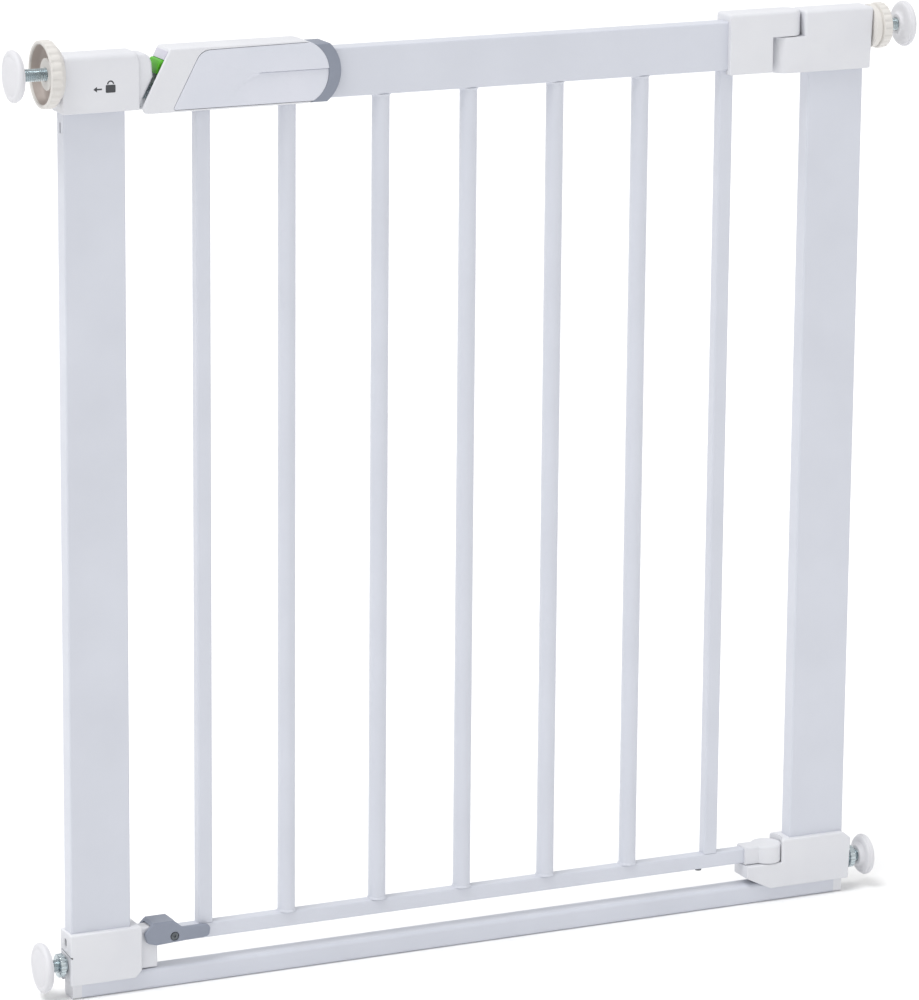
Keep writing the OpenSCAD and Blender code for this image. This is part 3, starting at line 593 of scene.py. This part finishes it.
def handle_core():
    lo, hi = handle_span()[:2]
    core = pillow("handle_core_shell", handle_outline(), lo.y, hi.y, 1.3)
    wall = 1.8
    carve(core, block((-300, lo.y + wall, lo.z + 1.7), (-100, hi.y - wall, hi.z - 2.2)))
    for y0, y1 in ((lo.y - 1, lo.y + wall + 0.5), (hi.y - wall - 0.5, hi.y + 1)):
        carve(core, pillow("tool", cover_outline(0.4), y0, y1, 0))
    carve(core, block((-300, -10.3, lo.z - 1), (-270, 10.3, lo.z + 1.9)))
    for x in SLOTTED_BARS_X:
        carve(core, block((x - 20, -7.5, lo.z - 1), (x + 8, 7.5, lo.z + 1.9)))
    finish_piece(core, "white_plastic", "handle", "handle_core")


GRIP_LINE_Z = 727.4
GRIP_LOW_Z = 703.0


def grip_depth(x, z):
    """Depth of the finger recess below its crisp upper line, fading out to the left and below."""
    if z >= GRIP_LINE_Z or z <= GRIP_LOW_Z:
        return 0.0
    drop = (GRIP_LINE_Z - z) / (GRIP_LINE_Z - GRIP_LOW_Z)
    left = -190.5 - 25.0 * drop ** 0.85 - 6.0 * (1 - (1 - drop) ** 6)
    soft = 8.0
    side = min(1.0, max(0.0, (x - left) / soft))
    side = side * side * (3 - 2 * side)
    below = GRIP_LINE_Z - z
    crisp = min(1.0, below / (0.15 + 4.5 * (1 - side)))
    groove = 0.6 * side ** 3 if below < 0.6 else 0.0
    return (1.4 * side * (1 - drop) ** 0.7 + groove) * crisp


def grip_tool(face_y):
    """Solid whose rear follows the finger recess, used to carve it into a side cover."""
    clear = 0.02
    rows = [GRIP_LINE_Z - d for d in (-0.3, 0.0, 0.15, 0.55, 0.75)]
    rows += [GRIP_LINE_Z - 0.75 - 1.3 * k for k in range(1, 19)]
    columns = [-226 + 2.0 * k for k in range(54)]
    front = [(x, face_y - 1.0, z) for z in rows for x in columns]
    rear = [(x, face_y - clear + grip_depth(x, z) * (1 + clear), z) for z in rows for x in columns]
    wide, count = len(columns), len(front)
    faces = []
    for i in range(len(rows) - 1):
        for k in range(wide - 1):
            quad = [i * wide + k, i * wide + k + 1, (i + 1) * wide + k + 1, (i + 1) * wide + k]
            faces += [quad, [count + q for q in quad][::-1]]
    rim = list(range(wide)) + [i * wide + wide - 1 for i in range(1, len(rows))]
    rim += [(len(rows) - 1) * wide + k for k in range(wide - 2, -1, -1)]
    rim += [i * wide for i in range(len(rows) - 2, 0, -1)]
    for a, b in zip(rim, rim[1:] + rim[:1]):
        faces.append([b, a, count + a, count + b])
    return make("tool", front + rear, faces)


def side_cover(front):
    lo = handle_span()[0]
    name = "handle_front_cover" if front else "handle_rear_cover"
    cover = pillow(name + "_shell", cover_outline(), lo.y, lo.y + 2.6, 0.35)
    carve(cover, grip_tool(lo.y))
    if not front:
        cover.data.transform(Matrix.Scale(-1, 4, (0, 1, 0)))
        cover.data.flip_normals()
    finish_piece(cover, "handle_plastic", "handle", name)


def end_collar():
    """Grey crescent that closes the round end, with room for the top rail inside."""
    end = handle_span()[2]
    lo, hi = span("handle_end_collar")
    ring_r = 29.4
    gap_r = END_R + 0.15
    ring_x = hi.x - ring_r
    top = math.degrees(math.asin((hi.z - end.y) / ring_r))
    bottom = -math.degrees(math.asin((end.y - lo.z) / ring_r))
    back_x = end.x + 8
    disc = arc(ring_x, end.y, ring_r, bottom, top, 40) + [(back_x, hi.z), (back_x, lo.z)]
    collar = pillow("end_collar_shell", disc, lo.y, hi.y, 0.8)
    inner = arc(end.x, end.y, gap_r, 0, 357.5, 143)
    carve(collar, pillow("tool", inner, lo.y - 1, hi.y + 1, 0))
    rail_lo, rail_hi = span("top_rail")
    room = Vector((50, 0.3, 0.3))
    carve(collar, block(Vector((end.x, rail_lo.y, rail_lo.z)) - room,
                        Vector((hi.x, rail_hi.y, rail_hi.z)) + room))
    finish_piece(collar, "grey_plastic", "handle", "handle_end_collar")


def indicator():
    lo, hi = span("indicator_flag")
    flag = [
        (-6, lo.z, 0.8), (6, lo.z, 0.8), (hi.y, hi.z - 1.5, 0.5), (hi.y - 0.8, hi.z, 0.5),
        (lo.y + 0.8, hi.z, 0.5), (lo.y, hi.z - 1.5, 0.5)]
    piece = pillow("indicator_flag_shell", flag, lo.x, hi.x, 0.5, "x")
    for v in piece.data.vertices:
        over = v.co.z / MM - (hi.z - 2.2)
        if over > 0 and v.co.x / MM < lo.x + 2.5:
            v.co.x += 0.9 * over * MM
    finish_piece(piece, "indicator_green", "handle", "indicator_flag")


def return_spring():
    """Coil spring in the roof of the handle, built at one length; on the gate the handle squeezes it when drawn
    back.
    """
    lo, hi = span("return_spring")
    wire, turns, around, steps = 0.5, 14, 8, 24
    r = (hi.z - lo.z) / 2 - wire
    cz = (hi.z + lo.z) / 2
    verts, faces = [], []
    count = turns * steps
    for i in range(count + 1):
        a = 2 * math.pi * i / steps
        along = lo.x + wire + (hi.x - lo.x - 2 * wire) * i / count
        centre = Vector((along, r * math.cos(a), cz + r * math.sin(a)))
        out = Vector((0, math.cos(a), math.sin(a)))
        for k in range(around):
            b = 2 * math.pi * k / around
            verts.append(centre + wire * (out * math.cos(b) + Vector((math.sin(b), 0, 0))))
    for i in range(count):
        for k in range(around):
            m = (k + 1) % around
            here, ahead = i * around, (i + 1) * around
            faces.append([here + k, here + m, ahead + m, ahead + k])
    faces.append(list(range(around)))
    faces.append(list(range(count * around, (count + 1) * around)))
    spring = make("return_spring_coil", verts, faces)
    finish_piece(spring, "zinc_steel", "leaf", "return_spring")
    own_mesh(spring)


# ---------- lower catch ----------

def catch_fork():
    lo, hi = span("lower_catch_fork")
    thick = 3.5
    heel_x = lo.x + 32.2
    jaw = [
        (heel_x, lo.z + 12.5, 2.0),
        (lo.x + 25.4, hi.z - 0.2, 3.0),
        (lo.x + 7.6, hi.z - 0.4, 4.0),
        (lo.x, lo.z + 10.2, 3.0),
        (lo.x + 2.2, lo.z + 2.6, 3.0),
        (lo.x + 10.0, lo.z, 4.0)]
    tail = [(hi.x - 1.6, lo.z + 2.2, 3.4), (hi.x, lo.z + 12.2, 4.0)]
    fork = pillow("catch_fork_shell", jaw + tail, lo.y, lo.y + thick, 0.8)
    rear = jaw + [(heel_x, lo.z + 1.0, 1.5)]
    carve(fork, pillow("rear", rear, hi.y - thick, hi.y, 0.8), "UNION")
    hood = [
        (lo.x + 5.8, hi.z - 2.5), (lo.x + 27.5, hi.z - 2.5),
        (lo.x + 25.2, hi.z, 1.0), (lo.x + 8.0, hi.z, 1.0)]
    carve(fork, pillow("hood", hood, lo.y + 1, hi.y - 1, 0), "UNION")
    rail_lo, rail_hi = span("lower_rail")
    web_z = lo.z + 0.8
    carve(fork, block((rail_lo.x, lo.y + 3, web_z), (hi.x - 5, 0, rail_hi.z)), "UNION")
    carve(fork, block((rail_lo.x, -1, web_z), (heel_x - 1, hi.y - 3, rail_hi.z)), "UNION")
    carve(fork, block((lo.x - 5, rail_lo.y, rail_lo.z - 3), (hi.x + 5, rail_hi.y, rail_hi.z)))
    recess = 2.2
    for y0, y1, r in ((lo.y - 2, lo.y + recess, 3.8), (hi.y - recess, hi.y + 2, 3.8),
                      (lo.y - 2, hi.y + 2, 1.6)):
        carve(fork, drum(r, y0, y1, *FORK_SCREW, "y"))
    finish_piece(fork, "grey_plastic", "leaf", "lower_catch_fork")


def weld_beads():
    """Small uneven fillets where the round bars meet the rails."""
    lo, hi = span("round_bars")
    r = (hi.y - lo.y) / 2
    places = [lo.x + r] + [hi.x - r - BAR_PITCH * k for k in (3, 2, 1, 0)]
    for i, x in enumerate(places):
        for z, way, tag in ((lo.z, 1, "low"), (hi.z, -1, "top")):
            profile = [
                (0, r - 0.4), (0, r + 0.9), (way * 0.5, r + 0.75), (way * 1.2, r + 0.3),
                (way * 2.0, r + 0.02), (way * 2.0, r - 0.4)]
            bead = lathe(f"weld_{tag}_{i + 1}", profile, x, z, segments=64, closed=True, axis="z")
            for v in bead.data.vertices:
                a = math.atan2(v.co.y, v.co.x - x * MM)
                swell = 1 + 0.018 * math.sin(9 * a + i) + 0.012 * math.sin(23 * a + 2 * i)
                v.co.x = x * MM + (v.co.x - x * MM) * swell
                v.co.y *= swell
            finish_piece(bead, "coated_steel", "leaf")


# ---------- adjusters ----------

def threaded_spindle(node, body):
    """Threaded rod whose helix is cut into the mesh, with a rolled crest and a flat root."""
    lo, hi = span(node)
    r = (hi.z - lo.z) / 2
    cz = (hi.z + lo.z) / 2
    root = r - 0.6
    shape = [(0.0, root), (0.12, root), (0.44, r), (0.62, r)]
    segments = 40
    first = int(lo.x / THREAD_PITCH) - 2
    last = int(hi.x / THREAD_PITCH) + 2
    verts, faces = [], []
    rows = [(n + t, rad) for n in range(first, last + 1) for t, rad in shape]
    for turn, rad in rows:
        for k in range(segments + 1):
            a = 2 * math.pi * k / segments
            x = (turn + k / segments) * THREAD_PITCH
            end = min(x - lo.x, hi.x - x)
            taper = max(0.0, 0.8 - end) if end > 0 else 0.8
            x = min(hi.x, max(lo.x, x))
            rr = min(rad, r - taper)
            verts.append((x, rr * math.cos(a), cz + rr * math.sin(a)))
    width = segments + 1
    for i in range(len(rows) - 1):
        for k in range(segments):
            here, ahead = i * width + k, (i + 1) * width + k
            faces.append([here, here + 1, ahead + 1, ahead])
    for row, x in ((0, lo.x), (len(rows) - 1, hi.x)):
        verts.append((x, 0, cz))
        for k in range(segments):
            faces.append([row * width + k, row * width + k + 1, len(verts) - 1])
    rod = make(node + "_thread", verts, faces, 40)
    finish_piece(rod, "zinc_steel", body, node)


def wall_pad(node, body, side):
    """Domed pad with a stepped rim, a faint ring on its face and a flared back with a socket."""
    lo, hi = span(node)
    r = (hi.z - lo.z) / 2
    cz = (hi.z + lo.z) / 2
    face = hi.x if side > 0 else lo.x
    profile = [
        (0, 0), (0, 4.0), (0, r - 5.4), (-0.18, r - 5.0), (-0.18, r - 4.6), (0, r - 4.2),
        (-0.05, r - 2.6), (-0.3, r - 1.4), (-0.8, r - 0.6), (-1.5, r - 0.15), (-2.2, r),
        (-3.4, r), (-3.9, r - 0.3), (-4.1, r - 0.9), (-4.3, r - 1.1), (-5.4, r - 1.2),
        (-6.0, r - 1.8), (-6.4, r - 3.4), (-6.8, r - 6.0), (-7.2, 10.6), (-7.8, 9.4),
        (-9.2, 8.4), (-9.8, 8.1), (-10, 7.6), (-10, 5.5), (-9.6, 5.1), (-7.9, 5.02), (-7.9, 0)]
    pad = lathe(node + "_disc", profile, face, cz, side, 96)
    finish_piece(pad, "pad_plastic", body, node)


def cup_wheel():
    lo, hi = span("cup_wheel")
    r = (hi.z - lo.z) / 2
    cz = (hi.z + lo.z) / 2
    cut = 1.1
    profile = [
        (0, SPINDLE_BORE_R), (0, r - 6.2), (0.4, r - 5.4), (2.8, r - 2.8), (3.8, r - 1.5, 0.2),
        (4.8, r - 0.3, cut), (5.5, r, cut), (9, r, cut), (11.6, r, cut), (12.4, r - 0.1, 0.3),
        (13.0, r - 0.1), (13.4, r - 0.6), (13.5, r - 1.2), (13.5, r - 2.2), (13.2, r - 2.8),
        (12.6, r - 3.0), (6.6, r - 3.6), (5.2, r - 4.6), (4.0, r - 6.5), (4.0, 12.7), (4.4, 12.5),
        (8.5, 12.4), (9.0, 11.9), (9.0, 5.4), (8.7, SPINDLE_BORE_R)]
    wheel = lathe("cup_wheel_shell", profile, hi.x, cz, -1, 288, 24, closed=True)
    finish_piece(wheel, "wheel_plastic", "upper_left_wheel", "cup_wheel")
    # painted shade: a thin darker shell over the inner wall and floor of the cup, standing in for the shade inside
    # it
    cup_shade_profile = [
        (3.6, 12.8), (4.1, 12.8), (4.1, r - 6.6), (5.3, r - 4.7), (6.7, r - 3.7), (12.0, r - 3.15),
        (12.0, r - 2.6), (6.6, r - 3.2), (5.2, r - 4.2), (3.6, r - 6.5)]
    inside = lathe("cup_wheel_painted_shade", cup_shade_profile, hi.x, cz, -1, 144, closed=True)
    finish_piece(inside, "wheel_plastic", "upper_left_wheel", material=WHEEL_PAINTED_SHADE)


def hand_knob():
    lo, hi = span("hand_knob")
    r = (hi.z - lo.z) / 2
    cz = (hi.z + lo.z) / 2
    cut = 1.0
    profile = [
        (0, SPINDLE_BORE_R), (0, r - 1.6), (0.4, r - 1.0), (4.6, r - 1.0), (5.0, r - 1.4),
        (5.3, r - 2.6), (6.4, r - 2.6), (6.8, r - 0.9), (7.2, r - 0.2, 0.2), (7.8, r, cut),
        (10, r, cut), (13.2, r, cut), (14.0, r - 0.4, 0.7), (14.7, r - 1.2, 0.2), (15, r - 2.2), (15, 9.0),
        (14.6, 8.4), (12.6, 8.2), (12.4, 7.8), (12.4, SPINDLE_BORE_R)]
    knob = lathe("hand_knob_shell", profile, lo.x, cz, 1, 280, 20, closed=True)
    finish_piece(knob, "wheel_plastic", "upper_right_wheel", "hand_knob")


def ring_nut(node, body, side):
    """Knurled ring on a plain shoulder that bears on the foot housing."""
    lo, hi = span(node)
    r = (hi.z - lo.z) / 2
    cz = (hi.z + lo.z) / 2
    wide = hi.x - lo.x
    seat = 2.0
    cut = 0.7
    profile = [
        (0, SPINDLE_BORE_R), (0, 6.3), (0.2, 6.5), (seat, 6.5), (seat, r - 0.9),
        (seat + 0.4, r - 0.2, 0.3), (seat + 0.8, r, cut), (wide - 0.8, r, cut),
        (wide - 0.4, r - 0.2, 0.3), (wide, r - 0.9), (wide, 5.6), (wide - 0.4, SPINDLE_BORE_R)]
    face = lo.x if side > 0 else hi.x
    nut = lathe(node + "_ring", profile, face, cz, side, 160, 16, closed=True)
    finish_piece(nut, "zinc_steel", body, node)


def adjusters():
    corners = (("upper_left", -1), ("upper_right", 1), ("lower_left", -1), ("lower_right", 1))
    for name, side in corners:
        threaded_spindle(name + "_spindle", name + "_screw")
        wall_pad(name + "_pad", name + "_screw", side)
    ring_nut("lower_left_nut", "lower_left_ring", -1)
    ring_nut("lower_right_nut", "lower_right_ring", 1)
    cup_wheel()
    hand_knob()


# ---------- stage ----------

def stage():
    floor_half = 30.0
    mesh = bpy.data.meshes.new("floor")
    corners = [(x * floor_half, y * floor_half, 0) for x, y in ((-1, -1), (1, -1), (1, 1), (-1, 1))]
    mesh.from_pydata(corners, [], [(0, 1, 2, 3)])
    floor = bpy.data.objects.new("floor", mesh)
    bpy.context.scene.collection.objects.link(floor)
    paint = Shader("floor_paint", 0.9, Specular_IOR_Level=0.1)
    paint.colour(paint.noise(2.0, 2), [(0.3, (0.93, 0.93, 0.93, 1)), (0.7, (0.95, 0.95, 0.95, 1))])
    mesh.materials.append(paint.material)


def light():
    """Soft sun from the upper left and a pale sky, a little dimmer at the horizon."""
    world = bpy.data.worlds.new("studio")
    world.use_nodes = True
    tree = world.node_tree
    place = tree.nodes.new("ShaderNodeTexCoord")
    split = tree.nodes.new("ShaderNodeSeparateXYZ")
    height = tree.nodes.new("ShaderNodeMapRange")
    height.inputs["From Min"].default_value = -1.0
    sky = tree.nodes.new("ShaderNodeValToRGB")
    pale, dim = (1.0, 1.0, 1.0, 1), (0.8, 0.8, 0.81, 1)
    stops = sky.color_ramp.elements
    stops[0].position, stops[0].color = 0.46, pale
    stops[1].position, stops[1].color = 0.62, pale
    for where in (0.49, 0.55):
        stops.new(where).color = dim
    background = tree.nodes["Background"]
    background.inputs["Strength"].default_value = 0.84
    tree.links.new(place.outputs["Generated"], split.inputs["Vector"])
    tree.links.new(split.outputs["Z"], height.inputs["Value"])
    tree.links.new(height.outputs["Result"], sky.inputs["Fac"])
    tree.links.new(sky.outputs["Color"], background.inputs["Color"])
    bpy.context.scene.world = world
    data = bpy.data.lights.new("sun", "SUN")
    data.energy = 1.6
    data.angle = math.radians(30)
    sun = bpy.data.objects.new("sun", data)
    sun.rotation_euler = Vector((0.4, 0.1, -0.9)).to_track_quat("-Z", "Y").to_euler()
    bpy.context.scene.collection.objects.link(sun)
    bpy.context.scene.view_settings.view_transform = "Standard"


def camera():
    yaw, pitch, roll = math.radians(25.085), math.radians(13.981), math.radians(0.507)
    data = bpy.data.cameras.new("camera")
    data.sensor_width = 36.0
    data.lens = 190.82
    data.clip_end = 100.0
    cam = bpy.data.objects.new("camera", data)
    turn = Matrix.Rotation(-yaw, 4, "Z") @ Matrix.Rotation(math.pi / 2 - pitch, 4, "X")
    spin = Matrix.Rotation(roll, 4, "Z")
    cam.matrix_world = Matrix.Translation((-1.7455, -3.7108, 1.3906)) @ turn @ spin
    bpy.context.scene.collection.objects.link(cam)
    bpy.context.scene.camera = cam


dress_cad_nodes()
receiver_cap()
padlock_mark()
hinge_cap()
leaf_hinge_cap()
left_foot_housing()
right_foot_housing()
lower_knuckle()
handle_core()
side_cover(True)
side_cover(False)
end_collar()
indicator()
return_spring()
catch_fork()
weld_beads()
adjusters()
stage()
light()
camera()
